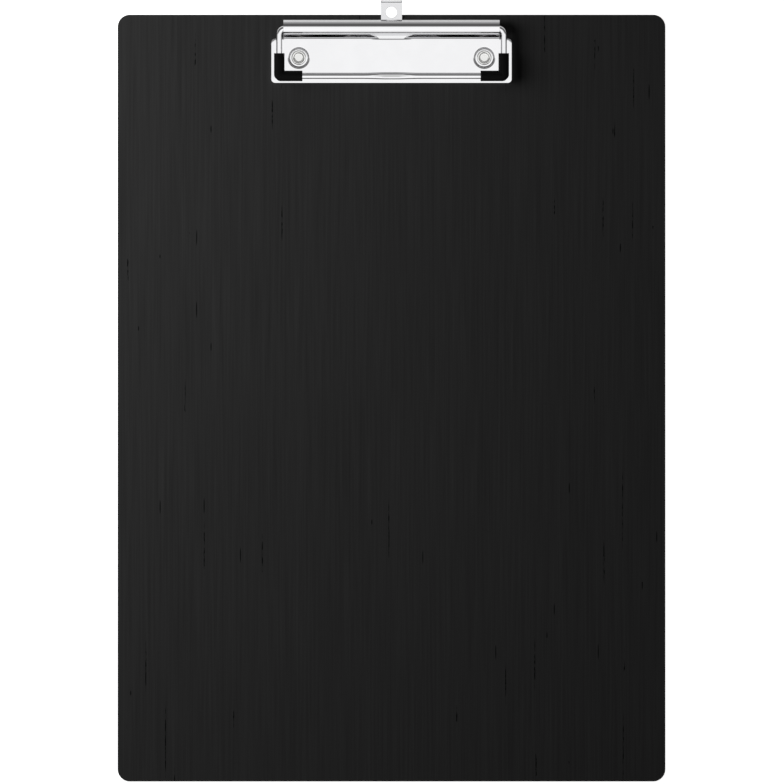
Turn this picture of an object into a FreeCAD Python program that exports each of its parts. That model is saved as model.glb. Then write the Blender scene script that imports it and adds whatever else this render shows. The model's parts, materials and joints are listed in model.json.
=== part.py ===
"""A4 clipboard: a laminated fibreboard with a low-profile wire clip and a sliding hanging tab.

Millimetres. The origin is the centre of the board's back face, +X runs across the board,
+Y runs up to the clip end and +Z comes out of the writing face.
"""

import FreeCAD, Part
import math
import os

V = FreeCAD.Vector
ACROSS = V(1, 0, 0)
UP = V(0, 0, 1)

# Board
board_length = 315.0
board_width = 225.0
corner_radius = 5.0
core_thickness = 2.4
laminate_thickness = 0.3
laminate_edge_round = 0.2

# Clip base: one pressed sheet with a raised tray at the front and a rolled spine at the back
sheet = 0.6
spine_setback = 2.1
spine_radius = 3.0
spine_length = 88.8
curl_angle = 290.0
tray_width = 99.5
tray_depth = 18.75
tray_setback = 9.6
tray_corner_radius = 2.0
flange_run = 0.25
tray_edge_round = 0.4
tray_least_radius = 0.3
joggle_angle = 40.0
joggle_bend_radius = 1.0

# Hanging tab, which slides between the board and the raised tray
tab_width = 8.7
tab_thickness = 0.7
tab_clearance = 0.1
tab_side_clearance = 0.4
tab_reach = 5.9
tab_lip_height = 2.2
tab_lip_bend_radius = 0.85
tab_corner_round = 0.7
tab_stop_width = 13.5
tab_stop_length = 3.0
tab_stop_gap = 0.3
hang_hole_radius = 2.3
hang_hole_overhang = 0.9
notch_margin = 0.7
tunnel_ramp = 4.0

# Wire bail
wire_diameter = 2.5
bail_width = 92.2
bail_depth = 19.4
bail_shoulder_radius = 2.1
bail_corner_radius = 2.6
bail_leg_length = 26.3
leg_clearance = 0.15
leg_rise_limit = 0.75
open_angle = 100.0
cam_flat_depth = 0.3
cam_flat_length = 16.0
thumb_flat_length = 20.0
thumb_flat_width = 2.9
thumb_flat_thickness = 2.1
thumb_flat_round = 0.9

# Rubber corner grips on the bail
grip_diameter = 4.3
grip_arm_length = 9.3
grip_bar_length = 9.5
grip_corner_chamfer = 0.56
grip_bore_clearance = 0.03
grip_rest_gap = 0.1

# Leaf springs under the bail's legs
leaf_thickness = 0.4
leaf_width = 2.0
leaf_length = 23.0
leaf_clearance = 0.05

# Rivets
rivet_spacing = 76.2
rivet_setback = 17.6
rivet_shank_radius = 2.5
rivet_hole_clearance = 0.1
rivet_hollow_radius = 2.0
rivet_hollow_depth = 1.6
rivet_roll_radius = 3.0
rivet_roll_height = 0.8
rivet_head_radius = 4.5
rivet_head_thickness = 0.8
rivet_head_recess = 0.1
rivet_head_round = 0.35
rivet_roll_edge = 0.27
rivet_hollow_point = 0.3
dimple_radius = 4.35
dimple_floor_radius = 3.55

# Places that follow from the sizes
face_z = core_thickness + 2 * laminate_thickness
board_top = board_length / 2
tray_rise = tab_thickness + 2 * tab_clearance
tray_top_z = face_z + tray_rise + sheet
tray_rear = board_top - tray_setback
tray_front = tray_rear - tray_depth
spine_y = board_top - spine_setback - spine_radius
spine_z = face_z + spine_radius
spine_bore = spine_radius - sheet
wire_radius = wire_diameter / 2
grip_radius = grip_diameter / 2

# The step down from the tray to the board ends at the spine's front, and starts where its two
# bends and the slope between them need it to.
step = math.radians(joggle_angle)
joggle_slope = (tray_rise - 2 * joggle_bend_radius * (1 - math.cos(step))) / math.sin(step)
joggle_run = 2 * joggle_bend_radius * math.sin(step) + joggle_slope * math.cos(step)
joggle_start = spine_y - spine_radius - joggle_run
neck_start = tray_rear - flange_run - max(sheet, tray_edge_round)

# The bail's legs sit up against the front of the spine's bore. Where the spine is high enough
# for it, the bail lies level with its grips just clear of the tray.
leg_play = spine_bore - wire_radius - leg_clearance
bail_level = tray_top_z + grip_radius + grip_rest_gap
leg_rise = min(bail_level - spine_z, leg_rise_limit * leg_play)
pivot_z = spine_z + leg_rise
pivot_y = spine_y - math.sqrt(leg_play**2 - leg_rise**2)
pivot = V(0, pivot_y, pivot_z)
lever = bail_depth - grip_arm_length
bail_tilt = math.degrees(math.asin((bail_level - pivot_z) / lever))
rivet_y = board_top - rivet_setback
rivet_floor_z = face_z + sheet
hole_y = board_top + hang_hole_overhang
tab_end = board_top + tab_reach


def box(x0, x1, y0, y1, z0, z1):
    """A block between two corners."""
    return Part.makeBox(x1 - x0, y1 - y0, z1 - z0, V(x0, y0, z0))


def rounded_outline(width, y0, y1, radius, z):
    """A closed wire: a rectangle centred on X = 0 with rounded corners, at height z."""
    half = width / 2
    corners = [
        (half - radius, y1 - radius, 0),
        (-half + radius, y1 - radius, 90),
        (-half + radius, y0 + radius, 180),
        (half - radius, y0 + radius, 270),
    ]
    edges = []
    last = None
    for cx, cy, start in corners:
        points = []
        for turn in (0, 45, 90):
            angle = math.radians(start + turn)
            points.append(V(cx + radius * math.cos(angle), cy + radius * math.sin(angle), z))
        if last is not None:
            edges.append(Part.LineSegment(last, points[0]).toShape())
        edges.append(Part.Arc(*points).toShape())
        last = points[2]
    edges.append(Part.LineSegment(last, edges[0].Vertexes[0].Point).toShape())
    return Part.Wire(edges)


def bent_strip(start, moves, thickness):
    """A face of sheet metal seen edge-on, in the YZ plane.

    start is the (y, z) of the strip's middle line, which sets out along +Y. Each move is
    ("straight", length) or ("bend", middle radius, degrees), and a positive bend turns up.
    """
    y, z = start
    heading = 0.0

    def beside(side):
        """The strip's edge point on its left (1) or right (-1), for someone facing ahead."""
        angle = math.radians(heading + 90 * side)
        reach = thickness / 2
        return V(0, y + reach * math.cos(angle), z + reach * math.sin(angle))

    trails = {1: [beside(1)], -1: [beside(-1)]}
    edges = [Part.LineSegment(beside(1), beside(-1)).toShape()]
    for move in moves:
        if move[0] == "straight":
            y += move[1] * math.cos(math.radians(heading))
            z += move[1] * math.sin(math.radians(heading))
            for side, trail in trails.items():
                trail.append(beside(side))
                edges.append(Part.LineSegment(*trail[-2:]).toShape())
            continue
        radius, turn = move[1], move[2]
        inward = math.copysign(90, turn)
        across = math.radians(heading + inward)
        cy = y + radius * math.cos(across)
        cz = z + radius * math.sin(across)
        for half_turn in (turn / 2, turn / 2):
            heading += half_turn
            y = cy - radius * math.cos(math.radians(heading + inward))
            z = cz - radius * math.sin(math.radians(heading + inward))
            for side, trail in trails.items():
                trail.append(beside(side))
        for trail in trails.values():
            edges.append(Part.Arc(*trail[-3:]).toShape())
    edges.append(Part.LineSegment(beside(1), beside(-1)).toShape())
    return Part.Face(Part.Wire(Part.sortEdges(edges)[0]))


def extrude_across(face, width):
    """A face in the YZ plane made a solid of that width, centred on X = 0."""
    face.translate(V(-width / 2, 0, 0))
    return face.extrude(V(width, 0, 0))


def rounded_path(points, radii):
    """A wire of straight runs in the XY plane, joined by tangent arcs at the inner points."""
    edges = []
    last = points[0]
    for i, radius in enumerate(radii, start=1):
        corner = points[i]
        back = (points[i - 1] - corner).normalize()
        ahead = (points[i + 1] - corner).normalize()
        half_turn = back.getAngle(ahead) / 2
        bisector = (back + ahead).normalize()
        first = corner + back * (radius / math.tan(half_turn))
        third = corner + ahead * (radius / math.tan(half_turn))
        second = corner + bisector * (radius / math.sin(half_turn) - radius)
        edges.append(Part.LineSegment(last, first).toShape())
        edges.append(Part.Arc(first, second, third).toShape())
        last = third
    edges.append(Part.LineSegment(last, points[-1]).toShape())
    return Part.Wire(edges)


def place_on_bail(shape):
    """Moves a shape drawn round the bail's hinge line, in the XY plane, to its closed place."""
    shape.rotate(V(0, 0, 0), ACROSS, -bail_tilt)
    shape.translate(pivot)
    return shape


def for_both_rivets(make):
    """One shape at each rivet, left first."""
    return [make(side * rivet_spacing / 2, rivet_y) for side in (-1, 1)]


# Board: a fibreboard core between two printed face sheets


def board_layer(z0, thickness, rivet_radius):
    """One layer of the board, with its rivet holes and the notch behind the hanging tab."""
    outline = rounded_outline(board_width, -board_top, board_top, corner_radius, z0)
    layer = Part.Face(outline).extrude(V(0, 0, thickness))
    notch_radius = hang_hole_radius + notch_margin
    cuts = for_both_rivets(
        lambda x, y: Part.makeCylinder(rivet_radius, thickness, V(x, y, z0))
    )
    cuts.append(Part.makeCylinder(notch_radius, thickness, V(0, hole_y, z0)))
    return layer.cut(Part.makeCompound(cuts))


def rim_edges(layer, z):
    """The edges of a layer's outline at height z, without those of its holes."""
    edges = []
    for edge in layer.Edges:
        bounds = edge.BoundBox
        flat = abs(bounds.ZMin - z) < 1e-6 and abs(bounds.ZMax - z) < 1e-6
        outer = (
            max(abs(bounds.XMin), abs(bounds.XMax)) > board_width / 2 - corner_radius - 1e-6
            or bounds.YMax < -board_top + corner_radius + 1e-6
        )
        if flat and outer:
            edges.append(edge)
    return edges


def make_board_core():
    hole = rivet_shank_radius + rivet_hole_clearance
    core = board_layer(laminate_thickness, core_thickness, hole)
    seat_depth = rivet_head_recess + rivet_head_thickness
    seat = rivet_head_radius + rivet_hole_clearance
    seats = for_both_rivets(lambda x, y: Part.makeCylinder(seat, seat_depth, V(x, y, 0)))
    return core.cut(Part.makeCompound(seats))


def make_front_laminate():
    hole = rivet_shank_radius + rivet_hole_clearance
    layer = board_layer(face_z - laminate_thickness, laminate_thickness, hole)
    return layer.makeFillet(laminate_edge_round, rim_edges(layer, face_z))


def make_back_laminate():
    hole = rivet_head_radius + rivet_hole_clearance
    layer = board_layer(0, laminate_thickness, hole)
    return layer.makeFillet(laminate_edge_round, rim_edges(layer, 0))


# Clip base


def tray_block(inset, z_low, z_high):
    """A solid with sloping sides: the tray's outside, or its inside at a given inset."""
    slope = flange_run / (tray_rise + sheet)

    def outline(z):
        shrink = inset + slope * (z - face_z)
        radius = max(tray_corner_radius - shrink, tray_least_radius)
        return rounded_outline(
            tray_width - 2 * shrink, tray_front + shrink, tray_rear - shrink, radius, z
        )

    return Part.makeLoft([outline(z_low), outline(z_high)], True, True)


def make_tray():
    """The raised tray, with a flange down to the board all round."""
    outside = tray_block(0, face_z, tray_top_z)
    crown = [e for e in outside.Edges if abs(e.BoundBox.ZMin - tray_top_z) < 1e-6]
    outside = outside.makeFillet(tray_edge_round, crown)
    inside = tray_block(sheet, face_z - 1, face_z + tray_rise)
    return outside.cut(inside)


def make_neck():
    """The strip behind the tray: the joggle down to the board, then the rolled spine."""
    path = [
        ("straight", joggle_start - neck_start),
        ("bend", joggle_bend_radius, -joggle_angle),
        ("straight", joggle_slope),
        ("bend", joggle_bend_radius, joggle_angle),
        ("straight", spine_radius),
        ("bend", spine_radius - sheet / 2, curl_angle),
    ]
    profile = bent_strip((neck_start, face_z + tray_rise + sheet / 2), path, sheet)
    return extrude_across(profile, spine_length)


def tunnel_block(top_z, half_width, y0, y1):
    """A flat-topped ridge over the tab's way, standing on the board."""
    foot = half_width + tunnel_ramp * (top_z - face_z) / (tray_rise + sheet)
    points = [
        V(-foot, y0, face_z),
        V(-half_width, y0, top_z),
        V(half_width, y0, top_z),
        V(foot, y0, face_z),
        V(-foot, y0, face_z),
    ]
    return Part.Face(Part.makePolygon(points)).extrude(V(0, y1 - y0, 0))


def make_dimple(x, y):
    """A round recess that takes the tray down to the board under a rivet's roll."""
    wall = sheet
    outer = [
        V(0, 0, face_z),
        V(dimple_floor_radius + wall, 0, face_z),
        V(dimple_radius + wall, 0, tray_top_z - sheet),
        V(dimple_radius + wall, 0, tray_top_z),
        V(0, 0, tray_top_z),
        V(0, 0, face_z),
    ]
    inner = [
        V(0, 0, rivet_floor_z),
        V(dimple_floor_radius, 0, rivet_floor_z),
        V(dimple_radius, 0, tray_top_z),
        V(0, 0, tray_top_z + 1),
        V(0, 0, rivet_floor_z),
    ]
    solids = []
    for points in (outer, inner):
        turned = Part.Face(Part.makePolygon(points)).revolve(V(0, 0, 0), UP, 360)
        turned.translate(V(x, y, 0))
        solids.append(turned)
    return solids


def make_clip_base():
    half = spine_length / 2
    rear = spine_y + spine_radius + 1
    base = make_tray().cut(box(-half, half, neck_start, rear, face_z - 1, tray_top_z + 1))
    base = base.fuse(make_neck())

    passage = tab_width / 2 + tab_side_clearance
    spine_solid = Part.makeCylinder(spine_radius, spine_length, V(-half, spine_y, spine_z), ACROSS)
    under_spine = spine_solid.fuse(box(-half, half, neck_start, spine_y, face_z, spine_z))
    ridge = tunnel_block(tray_top_z, passage + sheet / 2, joggle_start, rear)
    ridge = ridge.common(under_spine)
    bore = tunnel_block(face_z + tray_rise, passage, neck_start - 1, rear)
    base = base.fuse(ridge).cut(bore)

    for outer, inner in for_both_rivets(make_dimple):
        base = base.fuse(outer).cut(inner)
    hole = rivet_shank_radius + rivet_hole_clearance
    holes = for_both_rivets(
        lambda x, y: Part.makeCylinder(hole, tray_rise + sheet, V(x, y, face_z))
    )
    return base.cut(Part.makeCompound(holes)).removeSplitter()


# Wire bail, with cam flats on its legs inside the spine


def bail_path():
    half = bail_width / 2
    leg_end = half - bail_leg_length
    points = [
        V(-leg_end, 0, 0),
        V(-half, 0, 0),
        V(-half, -bail_depth, 0),
        V(half, -bail_depth, 0),
        V(half, 0, 0),
        V(leg_end, 0, 0),
    ]
    shoulder, corner = bail_shoulder_radius, bail_corner_radius
    return rounded_path(points, [shoulder, corner, corner, shoulder])


def wire_solid(radius):
    """The bail's wire at a given radius, round the hinge line."""
    path = bail_path()
    section = Part.Wire(Part.makeCircle(radius, path.Vertexes[0].Point, ACROSS))
    return path.makePipeShell([section], True, False)


def cam_flat(x, turn):
    """The sliver that a flat takes off a leg. turn is how far it faces round from down."""
    depth = 2 * wire_radius
    half = cam_flat_length / 2
    top = -wire_radius + cam_flat_depth
    sliver = box(x - half, x + half, -depth, depth, top - depth, top)
    sliver.rotate(V(0, 0, 0), ACROSS, turn)
    sliver.translate(pivot)
    return sliver


def coin_thumb_flat(wire):
    """The middle of the bar pressed wider and thinner, to lift it by."""
    half = thumb_flat_length / 2
    wide = thumb_flat_width / 2
    thin = thumb_flat_thickness / 2
    bar = -bail_depth
    gap = box(-half, half, bar - wide, bar + wide, -wide, wide)
    pad = box(-half, half, bar - wide, bar + wide, -thin, thin)
    long_edges = [e for e in pad.Edges if e.BoundBox.XLength > half]
    return wire.cut(gap).fuse(pad.makeFillet(thumb_flat_round, long_edges))


def make_wire_bail():
    bail = place_on_bail(coin_thumb_flat(wire_solid(wire_radius)))
    cam_x = bail_width / 2 - bail_leg_length + cam_flat_length / 2
    flats = []
    for x in (-cam_x, cam_x):
        for turn in (0, open_angle):
            flats.append(cam_flat(x, turn))
    return bail.cut(Part.makeCompound(flats))


def make_grip(side):
    """A rubber sleeve over one corner of the bail."""
    x = side * bail_width / 2
    y = -bail_depth
    cut_x = V(x - side * grip_corner_chamfer, y, 0)
    cut_y = V(x, y + grip_corner_chamfer, 0)
    runs = [
        (cut_y, V(0, 1, 0), grip_arm_length - grip_corner_chamfer),
        (cut_x, V(-side, 0, 0), grip_bar_length - grip_corner_chamfer),
        (cut_x, cut_y - cut_x, (cut_y - cut_x).Length),
    ]
    sleeve = Part.makeSphere(grip_radius, cut_x).fuse(Part.makeSphere(grip_radius, cut_y))
    for start, way, length in runs:
        sleeve = sleeve.fuse(Part.makeCylinder(grip_radius, length, start, way))
    sleeve = sleeve.cut(wire_solid(wire_radius + grip_bore_clearance))
    return place_on_bail(sleeve.removeSplitter())


# Leaf springs


def make_leaf_spring(side):
    """An arched strip in the spine. Its crown bears on the cam flat of one leg."""
    rear = max(pivot_y + leaf_width / 2 - spine_y, 0)
    foot_z = spine_z - math.sqrt(spine_bore**2 - rear**2) + leaf_clearance
    crown_z = pivot_z - wire_radius + cam_flat_depth - leaf_clearance - leaf_thickness
    middle = side * (bail_width / 2 - bail_leg_length + cam_flat_length / 2)
    half = leaf_length / 2
    edges = []
    for lift in (0, leaf_thickness):
        left = V(middle - half, pivot_y, foot_z + lift)
        right = V(middle + half, pivot_y, foot_z + lift)
        crown = V(middle, pivot_y, crown_z + lift)
        edges.append(Part.Arc(left, crown, right).toShape())
    for i in (0, 1):
        ends = [edge.Vertexes[i].Point for edge in edges[:2]]
        edges.append(Part.LineSegment(*ends).toShape())
    face = Part.Face(Part.Wire(Part.sortEdges(edges)[0]))
    face.translate(V(0, -leaf_width / 2, 0))
    return face.extrude(V(0, leaf_width, 0))


# Semi-tubular rivets, rolled over in the dimples and headed in the board's back


def make_rivet(x, y):
    low = rivet_head_recess
    neck = low + rivet_head_thickness
    crest = V((rivet_hollow_radius + rivet_roll_radius) / 2, 0, rivet_floor_z + rivet_roll_height)
    roll_z = rivet_floor_z + rivet_roll_edge
    floor = rivet_floor_z + rivet_roll_height - rivet_hollow_depth
    corner = V(rivet_head_radius, 0, low)
    round_mid = corner + V(-1, 0, 1) * (rivet_head_round * (1 - math.sqrt(0.5)))
    points = {
        "axis_low": V(0, 0, low),
        "head_low": corner - V(rivet_head_round, 0, 0),
        "head_side": corner + V(0, 0, rivet_head_round),
        "head_top": V(rivet_head_radius, 0, neck),
        "shank_low": V(rivet_shank_radius, 0, neck),
        "shank_top": V(rivet_shank_radius, 0, rivet_floor_z),
        "roll_low": V(rivet_roll_radius, 0, rivet_floor_z),
        "roll_out": V(rivet_roll_radius, 0, roll_z),
        "roll_in": V(rivet_hollow_radius, 0, roll_z),
        "hollow_low": V(rivet_hollow_radius, 0, floor),
        "axis_high": V(0, 0, floor - rivet_hollow_point),
    }
    names = list(points)
    edges = []
    for a, b in zip(names, names[1:] + names[:1]):
        if a == "head_low":
            edges.append(Part.Arc(points[a], round_mid, points[b]).toShape())
        elif a == "roll_out":
            edges.append(Part.Arc(points[a], crest, points[b]).toShape())
        else:
            edges.append(Part.LineSegment(points[a], points[b]).toShape())
    rivet = Part.Face(Part.Wire(edges)).revolve(V(0, 0, 0), UP, 360)
    rivet.translate(V(x, y, 0))
    return rivet


# Hanging tab


def make_hanging_tab():
    middle_z = face_z + tab_clearance + tab_thickness / 2
    bend_outer = tab_lip_bend_radius + tab_thickness / 2
    stop_rear = joggle_start - tab_stop_gap
    stop_front = stop_rear - tab_stop_length
    lip = tab_lip_height - tab_lip_bend_radius + tab_thickness / 2
    path = [
        ("straight", tab_end - bend_outer - stop_front),
        ("bend", tab_lip_bend_radius, 90),
        ("straight", lip),
    ]
    tab = extrude_across(bent_strip((stop_front, middle_z), path, tab_thickness), tab_width)
    top = tab.BoundBox.ZMax
    lip_corners = []
    for edge in tab.Edges:
        bounds = edge.BoundBox
        if abs(bounds.ZMin - top) < 1e-6 and bounds.YLength > tab_thickness / 2 > bounds.XLength:
            lip_corners.append(edge)
    tab = tab.makeFillet(tab_corner_round, lip_corners)
    low = face_z + tab_clearance
    half = tab_stop_width / 2
    stop = box(-half, half, stop_front, stop_rear, low, low + tab_thickness)
    uprights = [e for e in stop.Edges if e.BoundBox.ZLength > tab_thickness / 2]
    stop = stop.makeFillet(tab_corner_round, uprights)
    hole = Part.makeCylinder(hang_hole_radius, tab_thickness, V(0, hole_y, low))
    return tab.fuse(stop).cut(hole).removeSplitter()


rivets = for_both_rivets(make_rivet)
nodes = {
    "board_core": make_board_core(),
    "front_laminate": make_front_laminate(),
    "back_laminate": make_back_laminate(),
    "clip_base": make_clip_base(),
    "wire_bail": make_wire_bail(),
    "left_grip": make_grip(-1),
    "right_grip": make_grip(1),
    "left_leaf_spring": make_leaf_spring(-1),
    "right_leaf_spring": make_leaf_spring(1),
    "left_rivet": rivets[0],
    "right_rivet": rivets[1],
    "hanging_tab": make_hanging_tab(),
}

os.makedirs("parts", exist_ok=True)
for name, shape in nodes.items():
    solids = shape.Solids
    print(name, "solids", len(solids), "valid", shape.isValid(), "mm3", round(shape.Volume, 2))
    part = solids[0] if len(solids) == 1 else Part.makeCompound(solids)
    part.exportStep("parts/" + name + ".step")
print("hinge line", pivot, "bail tilt", round(bail_tilt, 3), "tray top", tray_top_z)
print("tab lip clears the spine by", tab_end - tab_thickness - (spine_y + spine_radius))
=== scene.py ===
import json
import math

import bmesh
import bpy
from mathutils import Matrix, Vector


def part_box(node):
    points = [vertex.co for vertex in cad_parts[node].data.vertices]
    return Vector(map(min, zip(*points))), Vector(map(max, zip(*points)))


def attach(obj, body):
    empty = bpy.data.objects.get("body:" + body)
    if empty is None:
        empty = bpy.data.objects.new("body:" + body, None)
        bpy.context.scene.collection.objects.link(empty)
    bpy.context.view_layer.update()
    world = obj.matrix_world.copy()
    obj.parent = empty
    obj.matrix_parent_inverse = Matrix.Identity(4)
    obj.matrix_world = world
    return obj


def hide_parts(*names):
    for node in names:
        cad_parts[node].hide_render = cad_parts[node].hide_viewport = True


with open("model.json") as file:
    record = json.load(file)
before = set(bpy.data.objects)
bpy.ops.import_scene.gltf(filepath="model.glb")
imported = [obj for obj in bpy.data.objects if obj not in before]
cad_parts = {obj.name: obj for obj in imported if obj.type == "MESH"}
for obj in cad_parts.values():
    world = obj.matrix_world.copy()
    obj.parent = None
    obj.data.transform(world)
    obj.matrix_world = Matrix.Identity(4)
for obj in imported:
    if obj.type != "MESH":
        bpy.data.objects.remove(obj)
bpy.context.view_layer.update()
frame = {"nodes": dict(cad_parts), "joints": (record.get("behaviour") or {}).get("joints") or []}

mm = 0.001

# Studio: the board lies on a white table, seen from straight above through a long lens. Polished
# metal sees a bright room with a dark gap past the board's top edge. Matt surfaces are lit by one
# soft lamp off the board's left side, and by little else.


class Signal:
    """An output socket in a node tree. Arithmetic on it adds Math nodes."""

    def __init__(self, tree, socket=None):
        self.tree = tree
        self.socket = socket

    def node(self, kind, settings=None, inputs=None, output=0):
        """A new node of the same tree: its settings, then the values or links of its sockets."""
        made = self.tree.nodes.new(kind)
        for name, value in (settings or {}).items():
            if name == "stops":
                while len(made.color_ramp.elements) < len(value):
                    made.color_ramp.elements.new(0.5)
                for element, (place, level) in zip(made.color_ramp.elements, value):
                    element.position = place
                    element.color = (level, level, level, 1)
            else:
                setattr(made, name, value)
        for name, value in (inputs or {}).items():
            if isinstance(value, Signal):
                self.tree.links.new(value.socket, made.inputs[name])
            else:
                made.inputs[name].default_value = value
        return Signal(self.tree, made.outputs[output])

    def math(self, operation, *values):
        return self.node("ShaderNodeMath", {"operation": operation}, dict(enumerate(values)))

    def __add__(self, other):
        return self.math("ADD", self, other)

    __radd__ = __add__

    def __sub__(self, other):
        return self.math("SUBTRACT", self, other)

    def __rsub__(self, other):
        return self.math("SUBTRACT", other, self)

    def __mul__(self, other):
        return self.math("MULTIPLY", self, other)

    __rmul__ = __mul__

    def __truediv__(self, other):
        return self.math("DIVIDE", self, other)

    def rises(self, low, high):
        """0 where this is below low, 1 where it is above high, and smooth between."""
        ends = {"Value": self, "From Min": low, "From Max": high}
        return self.node("ShaderNodeMapRange", {"interpolation_type": "SMOOTHSTEP"}, ends)

    def feeds(self, shader, name):
        self.tree.links.new(self.socket, shader.inputs[name])


scene = bpy.context.scene
scene.view_settings.view_transform = "Standard"
writing_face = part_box("front_laminate")[1].z

camera_data = bpy.data.cameras.new("camera")
camera_data.lens = 1200
view_middle = (0.2 * mm, 2.5 * mm)
camera_data.sensor_width = 36
camera_data.clip_end = 30
view_width = 322.1 * mm
camera_height = writing_face + view_width * camera_data.lens / camera_data.sensor_width
camera = bpy.data.objects.new("camera", camera_data)
camera.location = (*view_middle, camera_height)
scene.collection.objects.link(camera)
scene.camera = camera

world = bpy.data.worlds.new("studio_room")
world.use_nodes = True
scene.world = world
room = Signal(world.node_tree)
direction = room.node("ShaderNodeTexCoord", output="Generated")
toward_x = direction.node("ShaderNodeSeparateXYZ", {}, {"Vector": direction}, "X")
toward_y = direction.node("ShaderNodeSeparateXYZ", {}, {"Vector": direction}, "Y")
upward = direction.node("ShaderNodeSeparateXYZ", {}, {"Vector": direction}, "Z")

# The room's brightness by how far it leans along the board: 0.25 is the horizon past the near
# edge, 0.5 is straight up, and 0.75 is the horizon past the top edge.
lean = room.math("ARCTAN2", toward_y, upward) / (2 * math.pi) + 0.5
ceiling_stops = [
    (0.0, 0.3),
    (0.222, 0.3),
    (0.236, 0.1),
    (0.254, 0.1),
    (0.275, 0.85),
    (0.36, 1.05),
    (0.503, 1.0),
    (0.516, 0.4),
    (0.555, 0.085),
    (0.62, 0.1),
    (0.667, 0.23),
    (0.72, 0.4),
    (1.0, 0.4),
]
room_brightness = 1.35
ceiling = lean.node("ShaderNodeValToRGB", {"stops": ceiling_stops}, {"Fac": lean}) * room_brightness
sideways = room.math("ABSOLUTE", toward_x)
reflected = ceiling * (1 - 0.6 * sideways.rises(0.82, 1.0))
by_mirror = room.node("ShaderNodeLightPath", output="Is Glossy Ray")
by_camera = room.node("ShaderNodeLightPath", output="Is Camera Ray")
seen_white = 0.93
matt_fill = 0.02
backdrop = by_camera * seen_white + by_mirror * reflected + (1 - by_camera - by_mirror) * matt_fill
backdrop.feeds(world.node_tree.nodes["Background"], "Color")

lamp_data = bpy.data.lights.new("soft_lamp", "AREA")
lamp_data.shape = "DISK"
lamp_data.size = 0.4
lamp_data.energy = 2.15
lamp = bpy.data.objects.new("soft_lamp", lamp_data)
lamp.location = (-0.46, 0.2, 0.25)
lamp.rotation_euler = (-lamp.location).to_track_quat("-Z", "Y").to_euler()
lamp.visible_glossy = False
lamp.visible_camera = False
scene.collection.objects.link(lamp)


def new_material(name):
    """A material, its main shader, and an empty signal to start its nodes from."""
    material = bpy.data.materials.new(name)
    material.use_nodes = True
    shader = material.node_tree.nodes["Principled BSDF"]
    return material, shader, Signal(material.node_tree)


def paint(piece, material):
    piece.data.materials.clear()
    piece.data.materials.append(material)


white_paint, shader, start = new_material("white_table")
shader.inputs["Base Color"].default_value = (0.9, 0.9, 0.9, 1)
shader.inputs["Roughness"].default_value = 0.85
to_camera = start.node("ShaderNodeLightPath", output="Is Camera Ray")
(0.5 + 0.5 * to_camera).feeds(shader, "Emission Color")
from_below = start.node("ShaderNodeNewGeometry", output="Backfacing")
(1 - from_below).feeds(shader, "Alpha")
shader.inputs["Emission Strength"].default_value = 1
table_mesh = bpy.data.meshes.new("table")
table_z = -0.05 * mm
table_corners = [(x, y, table_z) for x, y in ((-3, -3), (3, -3), (3, 3), (-3, 3))]
table_mesh.from_pydata(table_corners, [], [(0, 1, 2, 3)])
table = bpy.data.objects.new("table", table_mesh)
paint(table, white_paint)
scene.collection.objects.link(table)

# Board core: black-dyed fibreboard, sawn, with its edge sanded and sealed. It shows only
# round the rim, in the notch behind the hanging tab and in the rivets' seats.


def place_on_piece(start):
    """The place on a piece, in metres from the origin."""
    return start.node("ShaderNodeTexCoord", output="Object")


def noise(place, stretch, size, detail=2.0, roughness=0.5):
    """Soft noise from 0 to 1 with spots of that size, drawn out along each axis by stretch."""
    scale = tuple(1 / s for s in stretch)
    moved = place.node("ShaderNodeMapping", {}, {"Vector": place, "Scale": scale})
    inputs = {"Vector": moved, "Scale": 1 / size, "Detail": detail, "Roughness": roughness}
    return moved.node("ShaderNodeTexNoise", {}, inputs)


def blend_colours(share, low, high):
    """The colour low where share is 0, and high where it is 1."""
    return share.node("ShaderNodeMix", {"data_type": "RGBA"}, {0: share, 6: low, 7: high}, 2)


dyed_fibre, shader, start = new_material("dyed_fibreboard")
place = place_on_piece(start)
fibres = noise(place, (1, 1, 0.3), 0.35 * mm, 4)
saw_marks = noise(place, (1, 1, 6), 0.8 * mm)
fibre_tone = fibres.rises(0.3, 0.75) * 0.7 + saw_marks * 0.3
blend_colours(fibre_tone, (0.006, 0.006, 0.006, 1), (0.02, 0.018, 0.016, 1)).feeds(shader, "Base Color")
(0.62 + 0.25 * fibres).feeds(shader, "Roughness")
shader.inputs["Specular IOR Level"].default_value = 0.1
relief = {"Height": fibre_tone, "Strength": 0.4, "Distance": 0.04 * mm}
fibre_tone.node("ShaderNodeBump", {}, relief).feeds(shader, "Normal")
paint(frame["nodes"]["board_core"], dyed_fibre)

# Laminates: a black open-grained veneer pattern, pressed into both faces. The grain runs along
# the board as fine ribs, and open pores lie in it as short black slits, mostly near both sides.

grain_dark = (0.034, 0.034, 0.034, 1)
grain_light = (0.066, 0.066, 0.066, 1)
pore_black = (0.003, 0.003, 0.003, 1)
half_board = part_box("front_laminate")[1].x
pore_width = 0.5 * mm


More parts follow.
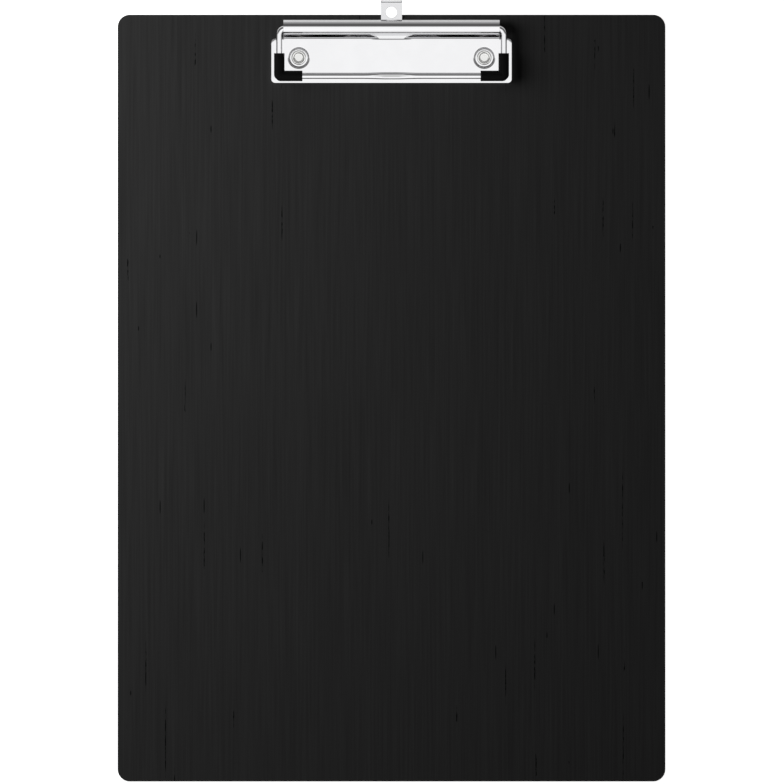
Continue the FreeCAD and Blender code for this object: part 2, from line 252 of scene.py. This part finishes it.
def pore_slits(place, width, length, spacing, share, seed):
    """1 in pointed slits of about that size, which only a share of a stretched grid's cells have."""
    scale = (1 / spacing, 1 / (2 * length), 0)
    moved = {"Vector": place, "Scale": scale, "Location": (seed, seed / 3, 0)}
    grid = place.node("ShaderNodeMapping", {}, moved)
    cells = {"Vector": grid, "Scale": 1.0, "Randomness": 0.9}
    middle = grid.node("ShaderNodeTexVoronoi", {"voronoi_dimensions": "2D"}, cells, "Position")
    tint = grid.node("ShaderNodeTexVoronoi", {"voronoi_dimensions": "2D"}, cells, "Color")
    chance = tint.node("ShaderNodeSeparateColor", {}, {"Color": tint}, "Red")
    luck = tint.node("ShaderNodeSeparateColor", {}, {"Color": tint}, "Green")
    away = grid.node("ShaderNodeVectorMath", {"operation": "SUBTRACT"}, {0: grid, 1: middle})
    aside = away.node("ShaderNodeSeparateXYZ", {}, {"Vector": away}, "X") * (2 * spacing / width)
    ahead = away.node("ShaderNodeSeparateXYZ", {}, {"Vector": away}, "Y") * 4 / (0.3 + 1.2 * luck)
    inside = 1 - (aside * aside + ahead * ahead).rises(0.4, 1.2)
    return inside * chance.math("LESS_THAN", chance, share)


def wood_laminate(name, flip):
    """The laminate's material. flip is -1 for the back, whose pattern is its own."""
    material, shader, start = new_material(name)
    place = place_on_piece(start)
    across, along = [place.node("ShaderNodeSeparateXYZ", {}, {"Vector": place}, axis) for axis in "XY"]
    wander = (noise(place, (1, 12, 1), 5 * mm) - 0.5) * (0.7 * mm)
    turned = across * flip + wander
    place = place.node("ShaderNodeCombineXYZ", {}, {"X": turned, "Y": along})
    fine = noise(place, (1, 70, 1), 0.8 * mm, 2, 0.6)
    ribs = noise(place, (1, 40, 1), 2.2 * mm, 2)
    bands = noise(place, (1, 9, 1), 16 * mm, 2)
    near_side = start.math("ABSOLUTE", across).rises(0.3 * half_board, 0.75 * half_board)
    crowd = 0.06 + near_side * noise(place, (1, 3, 1), 17 * mm).rises(0.4, 0.6)
    short = pore_slits(place, pore_width, 5 * mm, 3 * mm, 0.035 * crowd, 3.7)
    long = pore_slits(place, pore_width, 24 * mm, 4 * mm, 0.26 * crowd, 11.3)
    broken = noise(place, (1, 4, 1), 0.6 * mm, 2).rises(0.38, 0.6)
    pores = start.math("MAXIMUM", short * 0.8, long * (0.12 + 0.88 * broken))
    tone = 0.5 + 1.0 * (fine - 0.5) + 0.35 * (ribs - 0.5) + 0.25 * (bands - 0.5)
    wood = blend_colours(tone, grain_dark, grain_light)
    blend_colours(pores, wood, pore_black).feeds(shader, "Base Color")
    (0.5 + 0.16 * (ribs - 0.5) + 0.3 * pores).feeds(shader, "Roughness")
    shader.inputs["Specular IOR Level"].default_value = 0.02
    height = 0.35 * fine + 0.4 * ribs - 1.0 * pores
    relief = {"Height": height, "Strength": 0.4, "Distance": 0.04 * mm}
    height.node("ShaderNodeBump", {}, relief).feeds(shader, "Normal")
    return material


paint(frame["nodes"]["front_laminate"], wood_laminate("wood_laminate_front", 1))
paint(frame["nodes"]["back_laminate"], wood_laminate("wood_laminate_back", -1))

# Clip base: one blank of thin steel, pressed to a flat tray with its rim turned down, dimpled
# for the rivets, stepped down behind and curled into the spine, then chromed. A low ridge across
# the step and under the spine leaves the hanging tab its way out.

base_low, base_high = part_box("clip_base")
tab_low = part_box("hanging_tab")[0]
tab_room = (0.7 + 0.1) * mm
sheet = 0.6 * mm
tray_top = tab_low.z + tab_room + sheet
tray_depth = 18.75 * mm
spine_radius = (base_high.z - base_low.z) / 2
spine_end = 44.4 * mm
spine_centre = Vector((0, base_high.y - spine_radius, base_low.z + spine_radius))
tray_rear = base_low.y + tray_depth
rim_bend = 0.3 * mm
rim_slope = math.radians(80)
tray_corner = 2.0 * mm
step_bend = 1.0 * mm
step_slope = math.radians(40)
curl_end = math.radians(200)
dimple_radius = 4.35 * mm
dimple_floor = 3.9 * mm
dimple_bend = 0.14 * mm
rivet_hole = 2.6 * mm
rivet_low, rivet_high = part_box("left_rivet")
rivet_spot = (rivet_low + rivet_high) / 2
ridge_inner = 5.1 * mm
ridge_outer = 8.9 * mm
front_sag = 0.06 * mm
front_run = 0.35 * mm
rear_sag = 0.03 * mm
rear_run = 0.4 * mm
middle_z = tray_top - sheet / 2


def rim_profile():
    """How far in from the blank's edge and how high the turned-down rim is, from its foot up."""
    bend_z = middle_z - rim_bend
    slope_top = bend_z + rim_bend * math.cos(rim_slope)
    run = (slope_top - base_low.z) / math.tan(rim_slope)
    bend_in = sheet / 2 + run + rim_bend * math.sin(rim_slope)
    points = [(sheet / 2, base_low.z), (sheet / 2 + run / 2, (slope_top + base_low.z) / 2)]
    for i in range(7):
        turn = rim_slope * (1 - i / 6)
        points.append((bend_in - rim_bend * math.sin(turn), bend_z + rim_bend * math.cos(turn)))
    return points


def rim_stations():
    """Places and outward directions round the tray's edge, from one end of the step to the other."""
    side = base_high.x
    stations = [(Vector((-spine_end, tray_rear)), Vector((0, 1)))]
    centres = [(-1, tray_rear - tray_corner, 90), (-1, base_low.y + tray_corner, 180)]
    centres += [(1, base_low.y + tray_corner, 270), (1, tray_rear - tray_corner, 0)]
    for way, y, first in centres:
        centre = Vector((way * (side - tray_corner), y))
        for i in range(13):
            angle = math.radians(first + 90 * i / 12)
            out = Vector((math.cos(angle), math.sin(angle)))
            stations.append((centre + out * tray_corner, out))
    stations.append((Vector((spine_end, tray_rear)), Vector((0, 1))))
    return stations


def strip(mesh, rows, closed=False):
    """Quads between neighbouring rows of vertices. closed joins each row's ends."""
    for low, high in zip(rows, rows[1:]):
        count = len(low)
        for i in range(count if closed else count - 1):
            j = (i + 1) % count
            mesh.faces.new((low[i], low[j], high[j], high[i]))


step_drop = middle_z - base_low.z - sheet / 2
slope_drop = step_drop - 2 * step_bend * (1 - math.cos(step_slope))
step_run = 2 * step_bend * math.sin(step_slope) + slope_drop / math.tan(step_slope)
foot_y = spine_centre.y - spine_radius
bend_y = foot_y - step_run


def ease(share):
    """Eases from 0 to 1, and stays there outside."""
    share = min(max(share, 0), 1)
    return share**2 * (3 - 2 * share)


def spine_profile(start_y):
    """The middle of the sheet from the tray back to the spine's lip, as points (y, z)."""
    points = [(start_y + (bend_y - start_y) * i / 8, middle_z) for i in range(8)]
    for i in range(9):
        turn = step_slope * i / 8
        points.append((bend_y + step_bend * math.sin(turn), middle_z - step_bend * (1 - math.cos(turn))))
    foot_z = base_low.z + sheet / 2
    for i in range(9):
        turn = step_slope * (1 - i / 8)
        points.append((foot_y - step_bend * math.sin(turn), foot_z + step_bend * (1 - math.cos(turn))))
    points.append((spine_centre.y - spine_radius / 2, foot_z))
    radius = spine_radius - sheet / 2
    for i in range(73):
        turn = -math.pi / 2 + (curl_end + math.pi / 2) * i / 72
        points.append((spine_centre.y + radius * math.cos(turn), spine_centre.z + radius * math.sin(turn)))
    return points


blank = bmesh.new()
stations = rim_stations()
rows = []
for inset, z in rim_profile():
    rows.append([blank.verts.new((*(spot - out * inset), z)) for spot, out in stations])
strip(blank, rows)
inner_rim = rows[-1]
neck_start = inner_rim[0].co.y

# Columns of vertices stand close together at the ridge, which sinks a little over the step and
# again at its foot.
wide_apart = [spine_end - i * 4.5 * mm for i in range(8)]
close_together = [ridge_outer + 1 * mm - i * 0.33 * mm for i in range(31)]
half_columns = [x for x in wide_apart + close_together if x > 0.01 * mm]
columns = [-x for x in half_columns] + [0] + half_columns[::-1]
neck = []
for y, z in spine_profile(neck_start):
    sag = front_sag * ease((y - bend_y) / front_run + 1)
    sag += rear_sag * ease((y - foot_y) / rear_run + 1)
    row = []
    for x in columns:
        share = ease((ridge_outer - abs(x)) / (ridge_outer - ridge_inner))
        ridge = base_low.z + sheet / 2 + step_drop * share
        row.append(blank.verts.new((x, y, max(z, ridge) - sag * share * (z <= middle_z))))
    neck.append(row)
strip(blank, neck)

floor_z = base_low.z + sheet / 2
dimple_depth = middle_z - floor_z
flat_ring = 0.25 * mm
dimple_steps = [
    (dimple_radius + dimple_bend + flat_ring, middle_z),
    (dimple_radius + dimple_bend, middle_z),
    (dimple_radius + 0.3 * dimple_bend, middle_z - 0.08 * dimple_depth),
    (dimple_radius, middle_z - 0.25 * dimple_depth),
    (dimple_floor, floor_z + 0.25 * dimple_depth),
    (dimple_floor - 0.3 * dimple_bend, floor_z + 0.08 * dimple_depth),
    (dimple_floor - dimple_bend, floor_z),
    (rivet_hole, floor_z),
]
turns = [2 * math.pi * i / 64 for i in range(64)]
for way in (-1, 1):
    centre = Vector((way * abs(rivet_spot.x), rivet_spot.y, 0))
    rings = []
    for radius, z in dimple_steps:
        ring = [(radius * math.cos(turn), radius * math.sin(turn), z) for turn in turns]
        rings.append([blank.verts.new(centre + Vector(point)) for point in ring])
    strip(blank, rings, closed=True)

bmesh.ops.remove_doubles(blank, verts=blank.verts[:], dist=0.01 * mm)
flat_edges = []
for edge in blank.edges:
    level = all(abs(v.co.z - middle_z) < 1e-7 for v in edge.verts)
    if level and len(edge.link_faces) == 1 and edge.verts[0].co.y < neck_start + 1e-6:
        flat_edges.append(edge)
bmesh.ops.triangle_fill(blank, edges=flat_edges, use_beauty=True, normal=(0, 0, 1))
bmesh.ops.recalc_face_normals(blank, faces=blank.faces[:])


def smooth_mesh(name, shape):
    """The mesh of a bmesh, with smooth faces. The bmesh is freed."""
    mesh = bpy.data.meshes.new(name)
    shape.to_mesh(mesh)
    shape.free()
    mesh.shade_smooth()
    return mesh


def add_piece(name, mesh, material, body, *stands_for):
    """Puts a mesh in the scene in its material, in place of CAD nodes and riding on a body."""
    piece = bpy.data.objects.new(name, mesh)
    scene.collection.objects.link(piece)
    paint(piece, material)
    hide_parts(*stands_for)
    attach(piece, body)
    return piece


def soften_edges(piece, width, least_turn=50):
    """Rounds a piece's sharp edges by width, and keeps its flat faces looking flat."""
    bevel = piece.modifiers.new("soft_edges", "BEVEL")
    bevel.width = width
    bevel.segments = 3
    bevel.limit_method = "ANGLE"
    bevel.angle_limit = math.radians(least_turn)
    bevel.use_clamp_overlap = True
    weights = piece.modifiers.new("flat_faces", "WEIGHTED_NORMAL")
    weights.keep_sharp = True


def bright_plating(name, colour, least_roughness, waviness):
    """Plated metal: nearly a mirror, with faint polishing lines and a slow waviness."""
    material, shader, start = new_material(name)
    place = place_on_piece(start)
    haze = noise(place, (1, 1, 1), 8 * mm, 2)
    lines = noise(place, (30, 1, 1), 0.25 * mm, 3)
    shader.inputs["Metallic"].default_value = 1
    dull = tuple(0.98 * c for c in colour[:3]) + (1,)
    blend_colours(haze.rises(0.35, 0.7), dull, colour).feeds(shader, "Base Color")
    (least_roughness + 0.02 * haze + 0.02 * lines).feeds(shader, "Roughness")
    height = noise(place, (1, 1, 1), 12 * mm, 1) + 0.01 * lines
    relief = {"Height": height, "Strength": 0.35, "Distance": waviness}
    height.node("ShaderNodeBump", {}, relief).feeds(shader, "Normal")
    return material


chrome = bright_plating("bright_chrome", (0.69, 0.69, 0.7, 1), 0.035, 0.015 * mm)
clip = add_piece("pressed_clip", smooth_mesh("pressed_clip", blank), chrome, "board", "clip_base")
wall = clip.modifiers.new("sheet", "SOLIDIFY")
wall.thickness = sheet
wall.offset = 0
wall.use_even_offset = True
soften_edges(clip, 0.07 * mm)

# Rivets: nickel-plated semi-tubular steel, headed in the board's back and rolled over in the
# tray's dimples. One is its outline turned round its axis, and a tree sets it at both places.

rivet_floor = base_low.z + sheet
roll_inner = 2.0 * mm
roll_outer = 3.0 * mm
head_radius = (rivet_high.x - rivet_low.x) / 2
head_edge = 0.3 * mm
head_top = rivet_low.z + 0.8 * mm
shank_radius = 2.5 * mm
hollow_z = rivet_high.z - 1.6 * mm


def rivet_outline():
    """Half a rivet's outline, from the centre of its head round to the middle of its hollow."""
    points = [(0, rivet_low.z), (head_radius - 2 * head_edge, rivet_low.z)]
    for i in range(7):
        turn = math.pi / 2 * i / 6
        radius = head_radius - head_edge * (1 - math.sin(turn))
        points.append((radius, rivet_low.z + head_edge * (1 - math.cos(turn))))
    points += [(head_radius, head_top), (shank_radius, head_top), (shank_radius, rivet_floor)]
    points.append((roll_outer - 0.08 * mm, rivet_floor))
    reach = (roll_outer - roll_inner) / 2
    middle = (roll_outer + roll_inner) / 2
    for i in range(17):
        turn = math.pi * i / 16
        z = rivet_high.z - reach * (1 - math.sin(turn))
        points.append((middle + reach * math.cos(turn), z))
    points.append((roll_inner - 0.05 * mm, hollow_z + 0.4 * mm))
    points.append((roll_inner - 0.15 * mm, hollow_z + 0.12 * mm))
    points += [(roll_inner - 0.4 * mm, hollow_z), (roll_inner - 0.5 * mm, hollow_z), (0, hollow_z)]
    return points


turned = bmesh.new()
outline = [turned.verts.new((radius, 0, z)) for radius, z in rivet_outline()]
outline_edges = [turned.edges.new(pair) for pair in zip(outline, outline[1:])]
bmesh.ops.spin(
    turned,
    geom=outline + outline_edges,
    axis=(0, 0, 1),
    cent=(0, 0, 0),
    angle=2 * math.pi,
    steps=56,
    use_merge=True,
)
bmesh.ops.remove_doubles(turned, verts=turned.verts[:], dist=0.002 * mm)
bmesh.ops.recalc_face_normals(turned, faces=turned.faces[:])
one_rivet = bpy.data.objects.new("one_rivet", smooth_mesh("one_rivet", turned))
scene.collection.objects.link(one_rivet)


def new_tree(name, *inputs):
    """A geometry tree with those inputs after its geometry, and a signal for each of its inputs."""
    tree = bpy.data.node_groups.new(name, "GeometryNodeTree")
    tree.interface.new_socket("Geometry", in_out="INPUT", socket_type="NodeSocketGeometry")
    for label, kind in inputs:
        tree.interface.new_socket(label, in_out="INPUT", socket_type="NodeSocket" + kind)
    tree.interface.new_socket("Geometry", in_out="OUTPUT", socket_type="NodeSocketGeometry")
    given = tree.nodes.new("NodeGroupInput").outputs
    return tree, [Signal(tree, given[i]) for i in range(len(inputs) + 1)]


def end_tree(geometry, finish):
    """Ends a tree with real geometry in its finish."""
    smooth = geometry.node("GeometryNodeSetShadeSmooth", {}, {"Geometry": geometry})
    real = smooth.node("GeometryNodeRealizeInstances", {}, {"Geometry": smooth})
    painted = real.node("GeometryNodeSetMaterial", {}, {"Geometry": real, "Material": finish})
    last = painted.tree.nodes.new("NodeGroupOutput")
    painted.tree.links.new(painted.socket, last.inputs[0])


def grow(name, source, tree, inputs, material, body, *stands_for):
    """Runs a tree on a source, and keeps what it makes as a plain mesh that rides on a body."""
    modifier = source.modifiers.new("tree", "NODES")
    modifier.node_group = tree
    values = {**inputs, "Finish": material}
    for item in tree.interface.items_tree:
        if item.in_out == "INPUT" and item.name in values:
            modifier[item.identifier] = values[item.name]
    evaluated = source.evaluated_get(bpy.context.evaluated_depsgraph_get())
    mesh = bpy.data.meshes.new_from_object(evaluated)
    bpy.data.objects.remove(source)
    return add_piece(name, mesh, material, body, *stands_for)


row_sockets = (("Spacing", "Float"), ("Place", "Float"), ("Finish", "Material"))
row_tree, row_inputs = new_tree("rivet_row", *row_sockets)
rivet, spacing, row_place, finish = row_inputs
left_end = rivet.node("ShaderNodeCombineXYZ", {}, {"X": spacing * -0.5, "Y": row_place})
right_end = rivet.node("ShaderNodeCombineXYZ", {}, {"X": spacing * 0.5, "Y": row_place})
ends = {"Count": 2, "Start Location": left_end, "Offset": right_end}
row = rivet.node("GeometryNodeMeshLine", {"mode": "END_POINTS"}, ends)
largest_turn = 6.28
any_turn = {"Seed": 5, 3: largest_turn}
turn = rivet.node("FunctionNodeRandomValue", {"data_type": "FLOAT"}, any_turn, 1)
spin = rivet.node("ShaderNodeCombineXYZ", {}, {"Z": turn})
placed = {"Points": row, "Instance": rivet, "Rotation": spin}
end_tree(rivet.node("GeometryNodeInstanceOnPoints", {}, placed), finish)

nickel = bright_plating("bright_nickel", (0.76, 0.76, 0.75, 1), 0.19, 0.03 * mm)
rivet_sizes = {"Spacing": 2 * abs(rivet_spot.x), "Place": rivet_spot.y}
both_rivets = ("left_rivet", "right_rivet")
rivets = grow("rolled_rivets", one_rivet, row_tree, rivet_sizes, nickel, "board", *both_rivets)
soften_edges(rivets, 0.05 * mm, 60)

# Leaf springs: two arched strips of tempered steel in the spine, under the bail's legs. They
# are out of sight, and keep their plain shapes.

tempered, shader, start = new_material("tempered_steel")
place = place_on_piece(start)
oxide = noise(place, (1, 1, 1), 2.5 * mm, 3)
rolling = noise(place, (40, 1, 1), 0.2 * mm, 2)
shader.inputs["Metallic"].default_value = 1
blend_colours(oxide, (0.22, 0.23, 0.27, 1), (0.34, 0.31, 0.28, 1)).feeds(shader, "Base Color")
(0.26 + 0.12 * rolling).feeds(shader, "Roughness")
for name in ("left_leaf_spring", "right_leaf_spring"):
    paint(frame["nodes"][name], tempered)

# Bail: one length of hard spring wire, chromed, bent to a U with its legs turned in along the
# spine. The middle of its bar is pressed wider, flatter and slightly sloped, to lift it by.

bail_low, bail_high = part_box("wire_bail")
wire_radius = 1.25 * mm
thumb_width = 2.9 * mm
thumb_thickness = 2.1 * mm
thumb_reach = 12 * mm
thumb_slope = 0.035
arm_x = bail_high.x - wire_radius
bar_y = bail_low.y + thumb_width / 2
hinge = Vector(frame["joints"][0]["pos_m"])
leg_length = 26.3 * mm
leg_end = arm_x - leg_length
shoulder_bend = 2.1 * mm
corner_bend = 2.6 * mm

wire_tree, wire_inputs = new_tree(
    "bent_wire",
    ("Wire Radius", "Float"),
    ("Thumb Reach", "Float"),
    ("Thumb Half Width", "Float"),
    ("Thumb Half Thickness", "Float"),
    ("Thumb Slope", "Float"),
    ("Bar Place", "Float"),
    ("Bar Height", "Float"),
    ("Finish", "Material"),
)
route, radius, thumb, half_width, half_thickness, slope, bar_place, bar_height, finish = wire_inputs
bend_radius = route.node("GeometryNodeInputRadius")
bends = {"Curve": route, "Count": 12, "Radius": bend_radius, "Limit Radius": True}
bent = route.node("GeometryNodeFilletCurve", {"mode": "POLY"}, bends)
evenly = {"Curve": bent, "Length": 0.35 * mm}
even = route.node("GeometryNodeResampleCurve", {"mode": "LENGTH"}, evenly)
plain = even.node("GeometryNodeSetCurveRadius", {}, {"Curve": even, "Radius": 1.0})
section = route.node("GeometryNodeCurvePrimitiveCircle", {}, {"Resolution": 36, "Radius": radius})
swept = {"Curve": plain, "Profile Curve": section, "Fill Caps": True}
wire = plain.node("GeometryNodeCurveToMesh", {}, swept)
spot = wire.node("GeometryNodeInputPosition")
x, y, z = [spot.node("ShaderNodeSeparateXYZ", {}, {"Vector": spot}, axis) for axis in "XYZ"]
near_bar = 1 - (y - bar_place).rises(2 * mm, 3 * mm)
pressed = near_bar * (1 - x.math("ABSOLUTE", x).rises(0.15 * thumb, thumb))
wider = (y - bar_place) * (1 + pressed * (half_width / radius - 1))
limit = radius - pressed * (radius - half_thickness)
sloped_limit = limit - pressed * slope * (y - bar_place)
flat_height = z.math("MAXIMUM", z.math("MINIMUM", z - bar_height, sloped_limit), limit * -1)
moved = {"X": x, "Y": bar_place + wider, "Z": bar_height + flat_height}
new_spot = spot.node("ShaderNodeCombineXYZ", {}, moved)
end_tree(wire.node("GeometryNodeSetPosition", {}, {"Geometry": wire, "Position": new_spot}), finish)

path = bpy.data.curves.new("bail_route", "CURVE")
path.dimensions = "3D"
spline = path.splines.new("POLY")
half_route = [(leg_end, hinge.y, 0), (arm_x, hinge.y, shoulder_bend), (arm_x, bar_y, corner_bend)]
full_route = [(-x, y, bend) for x, y, bend in half_route] + half_route[::-1]
spline.points.add(len(full_route) - 1)
for point, (x, y, bend) in zip(spline.points, full_route):
    point.co = (x, y, hinge.z, 1)
    point.radius = bend
bail_route = bpy.data.objects.new("bail_route", path)
scene.collection.objects.link(bail_route)
bail_sizes = {
    "Wire Radius": wire_radius,
    "Thumb Reach": thumb_reach,
    "Thumb Half Width": thumb_width / 2,
    "Thumb Half Thickness": thumb_thickness / 2,
    "Thumb Slope": thumb_slope,
    "Bar Place": bar_y,
    "Bar Height": hinge.z,
}
bail = grow("spring_wire_bail", bail_route, wire_tree, bail_sizes, chrome, "bail", "wire_bail")

# Corner grips: two black rubber sleeves, moulded to the bail's corners and pushed on before its
# legs were bent in. Their mouths are slightly rounded.

rubber, shader, start = new_material("moulded_rubber")
place = place_on_piece(start)
skin = noise(place, (1, 1, 1), 0.18 * mm, 3)
bloom = noise(place, (1, 1, 1), 3 * mm, 2)
blend_colours(bloom, (0.004, 0.004, 0.004, 1), (0.008, 0.008, 0.008, 1)).feeds(shader, "Base Color")
(0.5 + 0.2 * skin).feeds(shader, "Roughness")
shader.inputs["Specular IOR Level"].default_value = 0.05
pimples = {"Height": skin, "Strength": 0.3, "Distance": 0.02 * mm}
skin.node("ShaderNodeBump", {}, pimples).feeds(shader, "Normal")


def finished_copy(name, node, material, body, edge):
    """A merged copy of a CAD node, with its sharp edges rounded by edge."""
    shape = bmesh.new()
    shape.from_mesh(frame["nodes"][node].data)
    bmesh.ops.remove_doubles(shape, verts=shape.verts[:], dist=0.0005 * mm)
    bmesh.ops.dissolve_limit(
        shape, angle_limit=math.radians(0.5), verts=shape.verts[:], edges=shape.edges[:]
    )
    piece = add_piece(name, smooth_mesh(name, shape), material, body, node)
    for attribute in [a for a in piece.data.attributes if a.name == "custom_normal"]:
        piece.data.attributes.remove(attribute)
    soften_edges(piece, edge)
    return piece


for side in ("left", "right"):
    grip = finished_copy(side + "_corner_grip", side + "_grip", rubber, "bail", 0.14 * mm)

# Hanging tab: a chromed strip with a punched hole, its outer end bent up to pull it by. It
# slides between the board and the tray, where its wider tail stops it.

soft_chrome = bright_plating("tumbled_chrome", (0.62, 0.62, 0.63, 1), 0.09, 0.04 * mm)
tab = finished_copy("pull_out_tab", "hanging_tab", soft_chrome, "tab", 0.1 * mm)
